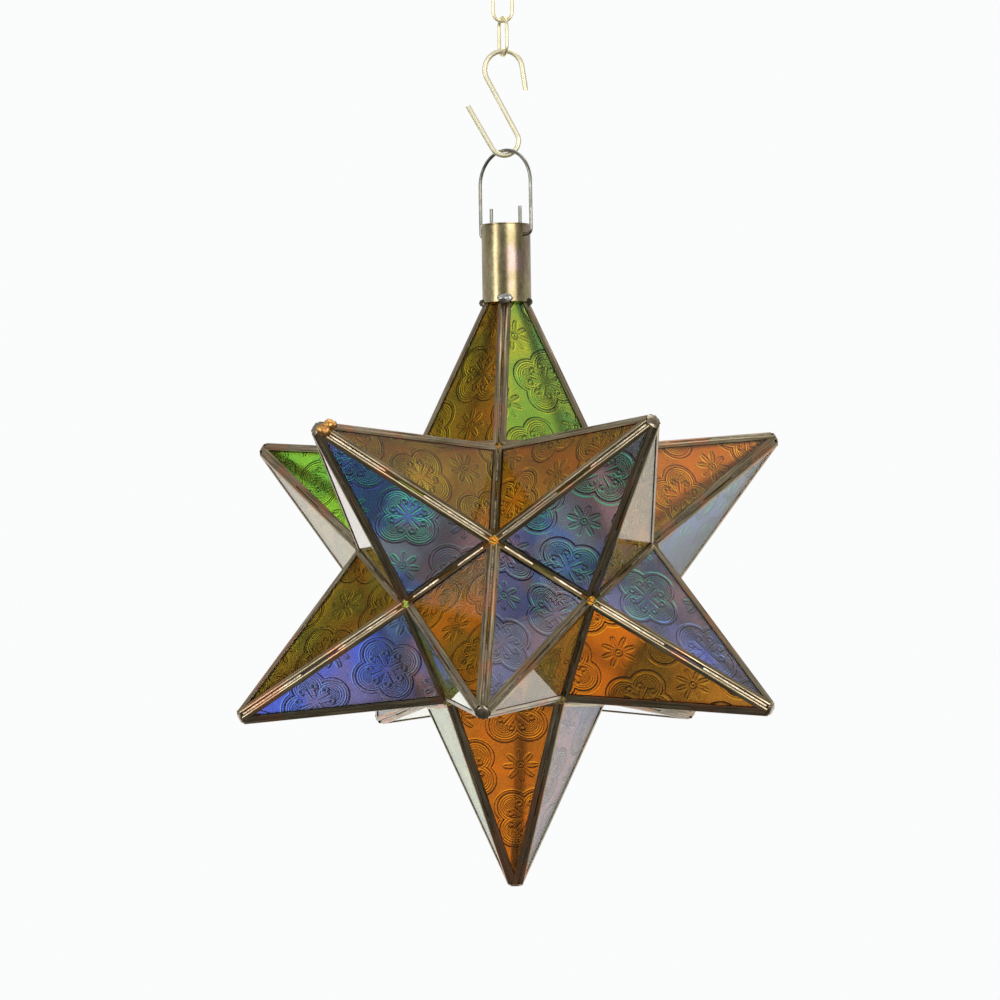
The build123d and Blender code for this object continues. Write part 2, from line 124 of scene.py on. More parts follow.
def put(tree, socket, value):
    """Gives a socket a number, a colour, or the output of another node."""
    if isinstance(value, bpy.types.NodeSocket):
        tree.links.new(value, socket)
    elif hasattr(socket.default_value, "__len__") and not hasattr(value, "__len__"):
        socket.default_value = (value,) * len(socket.default_value)
    else:
        socket.default_value = value


def math(tree, operation, *values, clamp=False):
    node = tree.nodes.new("ShaderNodeMath")
    node.operation = operation
    node.use_clamp = clamp
    for socket, value in zip(node.inputs, values):
        put(tree, socket, value)
    return node.outputs[0]


def vector_math(tree, operation, *values, output=0):
    node = tree.nodes.new("ShaderNodeVectorMath")
    node.operation = operation
    for socket, value in zip(node.inputs, values):
        put(tree, socket, value)
    return node.outputs[output]


def dot(tree, first, second):
    return vector_math(tree, "DOT_PRODUCT", first, second, output=1)


def length(tree, vector):
    return vector_math(tree, "LENGTH", vector, output=1)


def part(tree, vector, axis):
    """The X, Y or Z of a vector."""
    node = tree.nodes.new("ShaderNodeSeparateXYZ")
    put(tree, node.inputs[0], vector)
    return node.outputs[axis]


def fade(tree, value, low, high, start=0.0, end=1.0):
    """Goes smoothly from start to end as the value goes from low to high."""
    node = tree.nodes.new("ShaderNodeMapRange")
    node.interpolation_type = "SMOOTHSTEP"
    for name, entry in (("Value", value), ("From Min", low), ("From Max", high),
                        ("To Min", start), ("To Max", end)):
        put(tree, node.inputs[name], entry)
    return node.outputs["Result"]


def mix_colour(tree, share, first, second):
    """Goes from the first colour to the second as the share goes from 0 to 1."""
    node = tree.nodes.new("ShaderNodeMix")
    node.data_type = "RGBA"
    for index, value in ((0, share), (6, first), (7, second)):
        put(tree, node.inputs[index], value)
    return node.outputs[2]


def blend(tree, share, first, second):
    """Goes from the first number to the second as the share goes from 0 to 1."""
    node = tree.nodes.new("ShaderNodeMix")
    for index, value in ((0, share), (2, first), (3, second)):
        put(tree, node.inputs[index], value)
    return node.outputs[0]


def noise(tree, place, scale, detail=3.0):
    """Soft noise from 0 to 1 over a place; a larger scale has smaller spots."""
    node = tree.nodes.new("ShaderNodeTexNoise")
    for name, value in (("Vector", place), ("Scale", scale), ("Detail", detail), ("Roughness", 0.55)):
        put(tree, node.inputs[name], value)
    return node.outputs["Fac"]


def object_place(tree):
    return tree.nodes.new("ShaderNodeTexCoord").outputs["Object"]


def uv_place(tree, name):
    node = tree.nodes.new("ShaderNodeUVMap")
    node.uv_map = name
    return node.outputs["UV"]


def light_path(tree, ray):
    return tree.nodes.new("ShaderNodeLightPath").outputs[ray]


def camera_or_through(tree):
    """1 for what the camera sees, directly or through glass."""
    return math(tree, "ADD", light_path(tree, "Is Camera Ray"), light_path(tree, "Is Transmission Ray"),
                clamp=True)


def bump(tree, height, distance):
    node = tree.nodes.new("ShaderNodeBump")
    put(tree, node.inputs["Height"], height)
    put(tree, node.inputs["Distance"], distance)
    put(tree, node.inputs["Strength"], 1.0)
    return node.outputs["Normal"]


print("node helpers are ready")

# %% [markdown]
# The backdrop is plain near-white for the camera and for what shows through the glass. What surfaces
# mirror is set apart from it. The outer face of the glass is the one true mirror here, and its rays,
# the singular ones, see a studio: the white behind the lantern, the dark room behind the camera, a
# window up to the right, and at the left the bright edge of a shelf with shade below it. Panes that
# face the front then keep their colour, and panes that slant away catch the white. Metal is never
# that smooth, so it sees a softer room, brighter towards the backdrop. All this hangs on the ray's
# direction and not on the camera, so it stays where it is when the camera moves round.

# %% Backdrop
BACKDROP_WHITE = (0.965, 0.97, 0.975, 1)
AROUND_LIGHT = 0.5                    # what falls on the object from all round
METAL_SEES = (0.44, 0.65)             # towards the camera, and towards the backdrop
GLASS_SEES = (0.07, 1.4)
METAL_TURNS_BRIGHT = (0.0, 0.6)       # between these parts of the direction along Y
GLASS_TURNS_BRIGHT = (0.10, 0.42)
WINDOW_DIRECTION = (0.528, -0.046, 0.848)
WINDOW_FADES = (0.92, 0.985)          # cosines of the angle from its middle
WINDOW_LIGHT = 1.15
SHELF_DIRECTION = (-0.7545, 0.2155, 0.6199)
SHELF_FADES = (0.9986, 0.9991)
SHELF_EDGE = (0.6235, 0.5447, 0.5609)  # square to the line of its edge, upwards
SHELF_SHARPNESS = 0.0004
SHELF_SEES = (0.03, 3.0)              # below the edge, and above it

scene = bpy.context.scene
scene.view_settings.view_transform = "Standard"
world = bpy.data.worlds.new("studio")
scene.world = world
world.use_nodes = True
tree = world.node_tree
direction = tree.nodes.new("ShaderNodeTexCoord").outputs["Generated"]
towards_backdrop = part(tree, direction, "Y")
in_glass = fade(tree, towards_backdrop, *GLASS_TURNS_BRIGHT, *GLASS_SEES)
window = fade(tree, dot(tree, direction, WINDOW_DIRECTION), *WINDOW_FADES, 0.0, WINDOW_LIGHT)
in_glass = math(tree, "MAXIMUM", in_glass, window)
shelf = fade(tree, dot(tree, direction, SHELF_EDGE), -SHELF_SHARPNESS, SHELF_SHARPNESS, *SHELF_SEES)
in_glass = blend(tree, fade(tree, dot(tree, direction, SHELF_DIRECTION), *SHELF_FADES), in_glass, shelf)
in_metal = fade(tree, towards_backdrop, *METAL_TURNS_BRIGHT, *METAL_SEES)
strength = blend(tree, light_path(tree, "Is Glossy Ray"), AROUND_LIGHT, in_metal)
strength = blend(tree, light_path(tree, "Is Singular Ray"), strength, in_glass)
background = tree.nodes["Background"]
put(tree, background.inputs["Color"], BACKDROP_WHITE)
put(tree, background.inputs["Strength"], math(tree, "MAXIMUM", strength, camera_or_through(tree)))
print("backdrop nodes:", len(tree.nodes))

# %% [markdown]
# The floor is a plain sheet of pale paper far below. It keeps the lantern's shadow, and it glows a
# little for the camera, so that it comes close to the backdrop's white. For mirror rays it is dark
# like the room in front, and bright far behind, where the backdrop stands.

# %% Floor
FLOOR_BELOW = 0.9
FLOOR_HALF_WIDTH = 12
PALE_FLOOR = (0.86, 0.865, 0.87, 1)
MIRRORED_FLOOR = (0.16, 0.16, 0.16, 1)
FLOOR_GLOW = 0.53
FAR_FLOOR = (0.4, 2.2)                # metres behind the star between which it turns bright
FAR_FLOOR_LIGHT = 1.3

floor_mesh = bpy.data.meshes.new("floor")
grown = bmesh.new()
bmesh.ops.create_grid(grown, x_segments=1, y_segments=1, size=FLOOR_HALF_WIDTH)
bmesh.ops.translate(grown, vec=(0, 0, cad_low.z - FLOOR_BELOW), verts=grown.verts)
grown.to_mesh(floor_mesh)
grown.free()
floor = bpy.data.objects.new("floor", floor_mesh)
scene.collection.objects.link(floor)
paper, tree, shader = new_material("pale_floor")
mirrored = light_path(tree, "Is Glossy Ray")
put(tree, shader.inputs["Base Color"], mix_colour(tree, mirrored, PALE_FLOOR, MIRRORED_FLOOR))
put(tree, shader.inputs["Roughness"], 1.0)
put(tree, shader.inputs["Specular IOR Level"], 0.0)
put(tree, shader.inputs["Emission Color"], BACKDROP_WHITE)
far = fade(tree, part(tree, object_place(tree), "Y"), *FAR_FLOOR, 0.0, FAR_FLOOR_LIGHT)
far = math(tree, "MULTIPLY", far, mirrored)
put(tree, shader.inputs["Emission Strength"],
    math(tree, "MULTIPLY_ADD", camera_or_through(tree), FLOOR_GLOW, far))
floor_mesh.materials.append(paper)
print("floor", FLOOR_BELOW, "m below the lantern")

# %% [markdown]
# The metal needs something bright to mirror. A wide soft box stands behind the camera, to its right,
# and gives the collar its long highlight. A smaller one fills from the left, and a third hangs
# overhead. Their power is low, because most of the light comes from the white all round. Neither the
# camera nor a ray through the glass sees the boxes themselves.

# %% Soft boxes
SOFT_BOXES = {                      # place from the star's centre, width, height, power
    "right": ((1.75, -2.9, 0.35), 2.3, 1.1, 46),
    "left": ((-2.2, -2.2, 0.7), 0.9, 1.4, 26),
    "overhead": ((0.2, 0.3, 2.0), 1.4, 1.4, 14),
}
for name, (place, width, height, power) in SOFT_BOXES.items():
    lamp = bpy.data.lights.new("soft_box_" + name, "AREA")
    lamp.shape = "RECTANGLE"
    lamp.size, lamp.size_y = width, height
    lamp.energy = power
    soft_box = bpy.data.objects.new("soft_box_" + name, lamp)
    soft_box.location = STAR_CENTRE + Vector(place)
    soft_box.rotation_mode = "QUATERNION"
    soft_box.rotation_quaternion = (-Vector(place)).to_track_quat("-Z", "Y")
    soft_box.visible_camera = False
    soft_box.visible_transmission = False
    scene.collection.objects.link(soft_box)
print("soft boxes:", ", ".join(SOFT_BOXES))

# %% [markdown]
# ## The pattern in the glass
#
# Figured glass is rolled: the sheet passes over an engraved roller, which leaves four-lobed
# medallions with small flowers between them on one face. It could be sculpted into the mesh, but the
# lines are finer than any mesh that size should be. A height worked out in the shader is as fine as
# needed, and the bend that it gives to light is what the eye sees. The group below draws one
# repeat, in millimetres on the pane: a distance to four overlapping circles gives the rims and the
# fine lines inside, and angles about a centre give the leaves and the petals.

# %% Node group: medallions and flowers
REPEAT = 45.5                         # between medallions; all of these are millimetres
LOBE_OUT, LOBE_RADIUS = 9.8, 11.0     # a lobe's centre from the medallion's, and its radius
RIM_AT, RIM_HALF_WIDTH = -1.2, 1.35
LINES_START, LINE_STEP = (-2.9, -3.3), 1.3
DOTS_START, DOT_TURN = (-6.3, -6.9), 3.4     # radians a millimetre, for rows 1.3 mm apart
LEAF_ROOT, LEAF_REACH = 1.8, 7.8
CURL_OUT, CURL_ASIDE, CURL_RADIUS, CURL_HALF_WIDTH = 8.6, 3.9, 1.5, 0.75
BOSS_EDGE = (2.2, 1.7)
PETAL_ROOT, PETAL_REACH, PETAL_POINT = 3.6, 6.4, 1.2
PETALS_START = (2.2, 2.6)
EYE_RADIUS, EYE_HALF_WIDTH = 1.2, 0.8
SOFT_EDGE = (0.35, -0.25)
GROUND_EDGE = (-0.3, 0.5)             # of the fine lines and dots, which swing from -1 to 1
RIDGE_TOP = 0.45                      # share of a ridge's half width that is full height
LEAF_VEIN, PETAL_VEIN = (0.996, 0.98), (0.998, 0.985)     # cosines near each middle line
LINE_HEIGHT = 0.4                     # of the fine lines and dots, against the rim's 1


def wrapped(tree, place, shift):
    """The place within its repeat, from -REPEAT/2 to REPEAT/2 both ways."""
    moved = vector_math(tree, "ADD", place, (shift, shift, 0))
    return vector_math(tree, "WRAP", moved, (REPEAT / 2, REPEAT / 2, 1), (-REPEAT / 2, -REPEAT / 2, -1))


def line(tree, distance, centre, half_width):
    """A rounded ridge that follows one distance."""
    off = math(tree, "ABSOLUTE", math(tree, "SUBTRACT", distance, centre))
    return fade(tree, off, half_width, half_width * RIDGE_TOP)


def nearest(tree, place, spots):
    """Distance to the nearer of two spots."""
    ways = [length(tree, vector_math(tree, "SUBTRACT", place, spot)) for spot in spots]
    return math(tree, "MINIMUM", *ways)


def round_wave(tree, place, count):
    """How close a place's angle is to one of the middle lines of its leaves or petals, from 0 to 1."""
    angle = math(tree, "ARCTAN2", part(tree, place, "Y"), part(tree, place, "X"))
    return math(tree, "ABSOLUTE", math(tree, "COSINE", math(tree, "MULTIPLY", angle, count / 2)))


def glass_pattern():
    group = bpy.data.node_groups.new("rolled_medallions", "ShaderNodeTree")
    group.interface.new_socket("Place", in_out="INPUT", socket_type="NodeSocketVector")
    group.interface.new_socket("Height", in_out="OUTPUT", socket_type="NodeSocketFloat")
    start = group.nodes.new("NodeGroupInput")
    end = group.nodes.new("NodeGroupOutput")

    # distance to the outline of four overlapping circles, folded into one quarter
    medallion = wrapped(group, start.outputs["Place"], 0)
    quarter = vector_math(group, "ABSOLUTE", medallion)
    lobes = nearest(group, quarter, ((LOBE_OUT, 0, 0), (0, LOBE_OUT, 0)))
    rim = math(group, "SUBTRACT", lobes, LOBE_RADIUS)

    # fine lines along it inside, and rows of dots in the middle
    flat_place = vector_math(group, "MULTIPLY", medallion, (1, 1, 0))
    contours = math(group, "SINE", math(group, "MULTIPLY", rim, 2 * pi / LINE_STEP))
    axes = [part(group, flat_place, axis) for axis in "XY"]
    rows = [math(group, "SINE", math(group, "MULTIPLY", math(group, way, *axes), DOT_TURN))
            for way in ("ADD", "SUBTRACT")]
    dotted = fade(group, rim, *DOTS_START)
    ground = math(group, "ADD", math(group, "MULTIPLY", contours, math(group, "SUBTRACT", 1.0, dotted)),
                  math(group, "MULTIPLY", math(group, "MULTIPLY", *rows), dotted))
    ground = math(group, "MULTIPLY", fade(group, ground, *GROUND_EDGE), fade(group, rim, *LINES_START))

    # a leaf along each lobe with a vein, a pair of curls beside it, and a boss where they meet
    far = length(group, flat_place)
    leaf_wave = round_wave(group, flat_place, 4)
    leaf_end = math(group, "MULTIPLY_ADD", leaf_wave, LEAF_REACH, LEAF_ROOT)
    leaf = fade(group, math(group, "SUBTRACT", far, leaf_end), *SOFT_EDGE)
    curls = nearest(group, quarter, ((CURL_OUT, CURL_ASIDE, 0), (CURL_ASIDE, CURL_OUT, 0)))
    curl = line(group, curls, CURL_RADIUS, CURL_HALF_WIDTH)
    boss = fade(group, far, *BOSS_EDGE)

    # eight pointed petals round a centre, halfway between medallions
    flower = vector_math(group, "MULTIPLY", wrapped(group, start.outputs["Place"], REPEAT / 2), (1, 1, 0))
    out = length(group, flower)
    petal_wave = round_wave(group, flower, 8)
    petal_end = math(group, "MULTIPLY_ADD", math(group, "POWER", petal_wave, PETAL_POINT),
                     PETAL_REACH, PETAL_ROOT)
    petal = fade(group, math(group, "SUBTRACT", out, petal_end), *SOFT_EDGE)
    petal = math(group, "MULTIPLY", petal, fade(group, out, *PETALS_START))
    petal = math(group, "MULTIPLY", petal, fade(group, petal_wave, *PETAL_VEIN))

    veined_leaf = math(group, "MULTIPLY", leaf, fade(group, leaf_wave, *LEAF_VEIN))
    raised = line(group, rim, RIM_AT, RIM_HALF_WIDTH)
    for shape in (veined_leaf, curl, boss, petal, line(group, out, EYE_RADIUS, EYE_HALF_WIDTH)):
        raised = math(group, "MAXIMUM", raised, shape)
    covered = math(group, "MAXIMUM", leaf, math(group, "MAXIMUM", curl, boss))
    ground = math(group, "MULTIPLY", ground, math(group, "SUBTRACT", 1.0, covered))
    put(group, end.inputs["Height"], math(group, "MULTIPLY_ADD", ground, LINE_HEIGHT, raised))
    return group


ROLLED_MEDALLIONS = glass_pattern()
print("pattern nodes:", len(ROLLED_MEDALLIONS.nodes))

# %% [markdown]
# Coloured glass takes its colour in depth, so the tint goes on the light that passes through. The
# outer face is fire-smooth, and the inner one carries the rolled pattern and spreads the light. Real
# sheets aren't even: their tint lies in patches. The panes of three amber nodes are given a darker
# tint. The relief's light and shade are painted into its colour: the pattern is read twice, a short
# step apart, and the sign of the difference tells which way a slope faces. One side gets a painted
# highlight, in a colour that is brighter on the upper points, and the other gets painted shade. Panes
# on the far side are lit from all round, and that light is painted in: what has already passed one
# pane gets a paler tint from the next. On a pane seen at a slant the tint is mixed towards a warm
# grey, which is a painted reflection.

# %% Glass finishes
# In each tint, the two relief colours are painted highlights on the lit slopes, for the upper points and
# lower down.
GLASS_TINTS = {
    "amber": dict(outer=(0.82, 0.33, 0.03), flats=(0.25, 0.083, 0.012), patches=(0.40, 0.100, 0.007),
                  relief=(1.0, 0.80, 0.05), low_relief_highlight=(1.0, 0.48, 0.02),
                  far_pane_painted_light=(0.88, 0.72, 0.42)),
    "dark_amber": dict(outer=(0.62, 0.33, 0.035), flats=(0.068, 0.044, 0.010), patches=(0.27, 0.068, 0.007),
                       relief=(1.0, 0.58, 0.03), low_relief_highlight=(0.62, 0.34, 0.03),
                       far_pane_painted_light=(0.80, 0.68, 0.40)),
    "green": dict(outer=(0.58, 0.74, 0.12), flats=(0.30, 0.44, 0.03), patches=(0.10, 0.36, 0.07),
                  relief=(0.80, 1.0, 0.06), low_relief_highlight=(0.45, 1.0, 0.20),
                  far_pane_painted_light=(0.50, 0.84, 0.60)),
    "blue": dict(outer=(0.36, 0.37, 0.68), flats=(0.17, 0.090, 0.17), patches=(0.045, 0.068, 0.52),
                 relief=(0.05, 1.0, 0.50), low_relief_highlight=(0.20, 0.40, 0.85),
                 far_pane_painted_light=(0.62, 0.78, 0.95)),
}
PAINTED_SLANT_REFLECTION = (0.62, 0.59, 0.53)
SLANT_FROM, SLANT_SHARE = (0.46, 0.64), 0.85
GLASS_IOR = 1.5
FIGURED_ROUGHNESS = 0.24
RELIEF_DEPTH = 0.6 * MM
WAVE_DEPTH, WAVE_SCALE = 0.012 * MM, 55
RELIEF_STEP = 0.6                     # millimetres between the two readings of the pattern
SLOPE = (0.04, 0.55)                  # differences between which a slope goes light or dark
SHADED = 0.05                         # how dark, against the flats
PATCH_SCALE, PATCH_EDGE = 23, (0.43, 0.57)
LIT_SCALE, LIT_EDGE, LIT_SHARE = 28, (0.40, 0.58), (0.6, 1.0)
FRESH_SCALE, FRESH_EDGE, FRESH_PER_METRE = 20, (0.40, 0.56), 4.0
FAR_PANE_LIGHT_SHARE = 0.8
BEHIND_A_PANE = 1.5                   # faces that a ray has come through; more than one is a pane


def figured_colour(tree, tint, here, beside):
    """The inner face's colour: patches, and the relief's painted highlight and painted shade."""
    place = object_place(tree)
    slope = math(tree, "SUBTRACT", beside, here)
    patch = fade(tree, noise(tree, place, PATCH_SCALE, detail=2), *PATCH_EDGE)
    colour = mix_colour(tree, patch, tint["flats"], tint["patches"])
    high_up = math(tree, "MULTIPLY_ADD", part(tree, place, "Z"), FRESH_PER_METRE,
                   -FRESH_PER_METRE * STAR_CENTRE.z)
    fresh = math(tree, "ADD", high_up, noise(tree, place, FRESH_SCALE, detail=1))
    relief = mix_colour(tree, fade(tree, fresh, *FRESH_EDGE), tint["low_relief_highlight"], tint["relief"])
    lit = fade(tree, noise(tree, place, LIT_SCALE, detail=1), *LIT_EDGE, *LIT_SHARE)
    # painted highlight on one side of each slope; the next line paints shade on the other side
    colour = mix_colour(tree, math(tree, "MULTIPLY", lit, fade(tree, slope, *SLOPE)), colour, relief)
    shade = (*(SHADED * value for value in tint["flats"][:3]), 1)
    return mix_colour(tree, fade(tree, slope, -SLOPE[0], -SLOPE[1]), colour, shade)


def glass_finish(name, figured):
    material, tree, shader = new_material(name + ("_glass_figured" if figured else "_glass_smooth"))
    tint = {layer: (*value, 1) for layer, value in GLASS_TINTS[name].items()}
    put(tree, shader.inputs["Transmission Weight"], 1.0)
    put(tree, shader.inputs["IOR"], GLASS_IOR)
    put(tree, shader.inputs["Roughness"], FIGURED_ROUGHNESS if figured else 0.0)
    wave = math(tree, "MULTIPLY", noise(tree, object_place(tree), WAVE_SCALE, detail=1), WAVE_DEPTH)
    if figured:
        here, beside = (tree.nodes.new("ShaderNodeGroup") for _ in range(2))
        here.node_tree = beside.node_tree = ROLLED_MEDALLIONS
        place = uv_place(tree, "pane")
        put(tree, here.inputs["Place"], place)
        put(tree, beside.inputs["Place"], vector_math(tree, "ADD", place, (RELIEF_STEP, RELIEF_STEP, 0)))
        wave = math(tree, "MULTIPLY_ADD", here.outputs["Height"], RELIEF_DEPTH, wave)
        colour = figured_colour(tree, tint, here.outputs["Height"], beside.outputs["Height"])
    else:
        # painted reflection: at a slant the tint is mixed towards a warm grey, for the gloss of the outer
        # face
        slant = tree.nodes.new("ShaderNodeLayerWeight").outputs["Facing"]
        slant = fade(tree, slant, *SLANT_FROM, 0.0, SLANT_SHARE)
        colour = mix_colour(tree, slant, tint["outer"], (*PAINTED_SLANT_REFLECTION, 1))
    # painted light: what has already passed a pane gets a paler tint, for the far panes lit from all round
    inside = math(tree, "GREATER_THAN", light_path(tree, "Transmission Depth"), BEHIND_A_PANE)
    inside = math(tree, "MULTIPLY", inside, FAR_PANE_LIGHT_SHARE)
    put(tree, shader.inputs["Base Color"], mix_colour(tree, inside, colour, tint["far_pane_painted_light"]))
    put(tree, shader.inputs["Normal"], bump(tree, wave, 1.0))
    return material


finishes = {name: [glass_finish(name, figured) for figured in (False, True)] for name in GLASS_TINTS}
print("glass finishes:", ", ".join(finishes))

# %% [markdown]
# The sheets were cut wherever they allowed, so the pattern lies differently on every pane. On seven
# panes of the photograph a medallion and a flower beside it can be made out. Two such spots fix how
# the pattern is turned and where it lies, so a ray from the camera through each spot finds its place
# on the glass.

# %% Find the figures of the photograph
SEEN_FIGURES = (         # centres of a medallion and of a flower next to it, in the picture
    ((408, 518), (402, 567)),
    ((387, 670), (427, 682)),
    ((640, 702), (617, 651)),
    ((567, 569), (580, 533)),
    ((515, 714), (521, 772)),
    ((422, 476), (457, 469)),
    ((546, 380), (520, 342)),
)


def through(point):
    """Direction from the eye through a point of the picture."""
    from_middle = Vector(point) / PICTURE_PIXELS - Vector((0.5, 0.5))
    across, down = from_middle * camera_data.sensor_width / camera_data.lens
    return (gaze + side * across - side.cross(gaze) * down).normalized()


def on_plane(direction, place, normal):
    """Where a line from the eye meets a plane."""
    return eye + direction * ((place - eye).dot(normal) / direction.dot(normal))


seen_figures = []
depsgraph = bpy.context.evaluated_depsgraph_get()
for medallion, flower in SEEN_FIGURES:
    between = (Vector(medallion) + Vector(flower)) / 2
    found, hit = scene.ray_cast(depsgraph, eye, through(between))[:2]
    seen_figures.append((hit, medallion, flower))
print("figures placed:", len(seen_figures))

# %% [markdown]
# A pane in the frame is a plain slab of loose triangles without a map. Its copy is merged and its
# triangles are joined back into whole faces. Each pane then gets a map laid flat on its own plane,
# in millimetres, with the first axis along its base. Where the photograph doesn't say how the
# pattern lies, each pane's map is turned and moved by its own amount.

# %% Lay a map on each pane
MERGE_DISTANCE = 0.005 * MM
SAME_PLANE, SAME_PANE = 0.5 * MM, 60 * MM
SHEET_TURN = radians(53)
SHEET_STEP = Vector((17.0, 29.0))
FLOWER_ANGLE = radians(45)            # of a flower from a medallion, on the sheet


def merged_copy(name):
    """A frame node's mesh with its loose triangles joined at their corners."""
    grown = bmesh.new()
    grown.from_mesh(nodes[name].data)
    bmesh.ops.remove_doubles(grown, verts=grown.verts, dist=MERGE_DISTANCE)
    return grown


def islands(grown):
    """The separate slabs of a mesh, as lists of faces, in the order of their first faces."""
    reached = set()
    for start in grown.faces:
        if start in reached:
            continue
        reached.add(start)
        found = [start]
        for face in found:
            for edge in face.edges:
                for other in edge.link_faces:
                    if other not in reached:
                        reached.add(other)
                        found.append(other)
        yield found


def lay_sheet(middle, normal, along, upward, cut):
    """Turn and shift of one pane's map: as seen in the photograph, or by the pane's number."""
    for hit, medallion, flower in seen_figures:
        if abs((hit - middle).dot(normal)) < SAME_PLANE and (hit - middle).length < SAME_PANE:
            spots = [on_plane(through(point), middle, normal) - middle for point in (medallion, flower)]
            start, end = (Vector((spot.dot(along), spot.dot(upward))) / MM for spot in spots)
            spin = Matrix.Rotation(FLOWER_ANGLE - (end - start).angle_signed(Vector((1, 0))), 2)
            return spin, -(spin @ start)
    return Matrix.Rotation(SHEET_TURN * cut, 2), SHEET_STEP * cut


def map_pane(faces, layer, cut):
    """Lays the map of one slab on its own plane, in millimetres, and marks its inner face."""
    broad = sorted(faces, key=lambda face: -face.calc_area())[:2]
    inner, outer = sorted(broad, key=lambda face: face.normal.dot(face.calc_center_median() - STAR_CENTRE))
    base = max(outer.edges, key=lambda edge: edge.calc_length())
    along = (base.verts[1].co - base.verts[0].co).normalized()
    upward = outer.normal.cross(along)
    middle = outer.calc_center_median()
    spin, shift = lay_sheet(middle, outer.normal, along, upward, cut)
    for face in faces:
        face.material_index = 1 if face is inner else 0
        for corner in face.loops:
            place = corner.vert.co - middle
            corner[layer].uv = spin @ (Vector((place.dot(along), place.dot(upward))) / MM) + shift


glass_copies = {}
cut = 0
for name in sorted(name for name in nodes if name.startswith("glass_")):
    grown = merged_copy(name)
    bmesh.ops.dissolve_limit(grown, angle_limit=radians(1), verts=grown.verts, edges=grown.edges)
    layer = grown.loops.layers.uv.new("pane")
    grown.faces.ensure_lookup_table()
    for faces in islands(grown):
        map_pane(faces, layer, cut)
        cut += 1
    glass_copies[name] = grown
print("panes mapped:", cut)

# %% [markdown]
# Each copy becomes an object in place of the frame's node. It rides on the lantern's body, so that
# it swings with it.

# %% Make the panes
BODY_OF_STAR = "lantern"
DARKER_AMBER_PANES = ("glass_amber_top", "glass_amber_lower_left", "glass_amber_lower_front")


def add_piece(name, grown, materials, body, replaced=None):
    """Makes a finished bmesh an object that rides on a body, perhaps in place of a frame node."""
    mesh = bpy.data.meshes.new(name)
    grown.to_mesh(mesh)
    grown.free()
    for material in materials:
        mesh.materials.append(material)
    piece = bpy.data.objects.new(name, mesh)
    scene.collection.objects.link(piece)
    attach(piece, body)
    if replaced:
        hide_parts(replaced)


for name, grown in glass_copies.items():
    colour = name.split("_")[1]
    sheet = "dark_amber" if name in DARKER_AMBER_PANES else colour
    add_piece(name.replace("glass", "panes"), grown, finishes[sheet], BODY_OF_STAR, name)
print("pane pieces:", len(glass_copies))

# %% [markdown]
# ## The metal
#
# The channels were dipped in a dark patina and then rubbed, so they are brown with brighter streaks
# of brass, and reddish where heat from the soldering reached them. One group makes that: a dark
# colour, a bright one and a warm one, mixed by noise of two sizes. Each metal piece uses it with its
# own colours.

# %% Node group: rubbed patina
GRAIN_SCALE, GRAIN_SHARE = 900, 0.25
RUBBED_FROM = 0.95
SPOT_SCALE, SPOT_EDGE = 34, (0.5, 0.64)
PATINA_INPUTS = {"Place": "Vector", "Spot": "Vector", "Dark": "Color", "Bright": "Color", "Warm": "Color",
                 "Patch Scale": "Float", "Rubbed": "Float", "Warmth": "Float"}


def patina_group():
    group = bpy.data.node_groups.new("rubbed_patina", "ShaderNodeTree")
    for name, kind in PATINA_INPUTS.items():
        group.interface.new_socket(name, in_out="INPUT", socket_type="NodeSocket" + kind)
    group.interface.new_socket("Color", in_out="OUTPUT", socket_type="NodeSocketColor")
    group.interface.new_socket("Grain", in_out="OUTPUT", socket_type="NodeSocketFloat")
    start = group.nodes.new("NodeGroupInput").outputs
    end = group.nodes.new("NodeGroupOutput").inputs
    broad = noise(group, start["Place"], start["Patch Scale"], detail=4)
    grain = noise(group, start["Place"], GRAIN_SCALE, detail=2)
    rubbed = fade(group, math(group, "ADD", broad, math(group, "MULTIPLY", grain, GRAIN_SHARE)),
                  math(group, "SUBTRACT", RUBBED_FROM, start["Rubbed"]), 1.0)
    colour = mix_colour(group, rubbed, start["Dark"], start["Bright"])
    warm = fade(group, noise(group, start["Spot"], SPOT_SCALE, detail=4), *SPOT_EDGE)
    warm = math(group, "MULTIPLY", warm, start["Warmth"])
    put(group, end["Color"], mix_colour(group, warm, colour, start["Warm"]))
    put(group, end["Grain"], grain)
    return group


RUBBED_PATINA = patina_group()
print("patina nodes:", len(RUBBED_PATINA.nodes))

# %% [markdown]
# A metal finish places that group in a material of its own. The streaks of a folded channel run along
# it, whichever way it points. A stretched pattern in space can't do that, so the copies of the metal
# get a map that lies along each face, and a drawn finish reads it.

# %% Metal finishes
ALONG_THE_STRIP = (0.06, 1, 1)        # a drawn streak is this much longer than it is wide
GRAIN_EDGE = (0.3, 0.7)


def metal_finish(name, dark, bright, warm, scale=60, rubbed=0.4, warmth=0.5, rough=(0.32, 0.5), grain=0.02,
                 stretch=(1, 1, 1), drawn=False):
    """A patinated metal; its streaks are drawn out along an axis of the object or along each strip."""
    material, tree, shader = new_material(name)
    patina = tree.nodes.new("ShaderNodeGroup")
    patina.node_tree = RUBBED_PATINA
    place = object_place(tree)
    if drawn:
        streaks = vector_math(tree, "MULTIPLY", uv_place(tree, "strip"), ALONG_THE_STRIP)
    else:
        streaks = vector_math(tree, "MULTIPLY", place, stretch)
    for socket, value in (("Place", streaks), ("Spot", place), ("Dark", (*dark, 1)),
                          ("Bright", (*bright, 1)), ("Warm", (*warm, 1)), ("Patch Scale", scale),
                          ("Rubbed", rubbed), ("Warmth", warmth)):
        put(tree, patina.inputs[socket], value)
    put(tree, shader.inputs["Base Color"], patina.outputs["Color"])
    put(tree, shader.inputs["Metallic"], 1.0)
    put(tree, shader.inputs["Roughness"], fade(tree, patina.outputs["Grain"], *GRAIN_EDGE, *rough))
    if grain:
        put(tree, shader.inputs["Normal"], bump(tree, patina.outputs["Grain"], grain * MM))
    return material


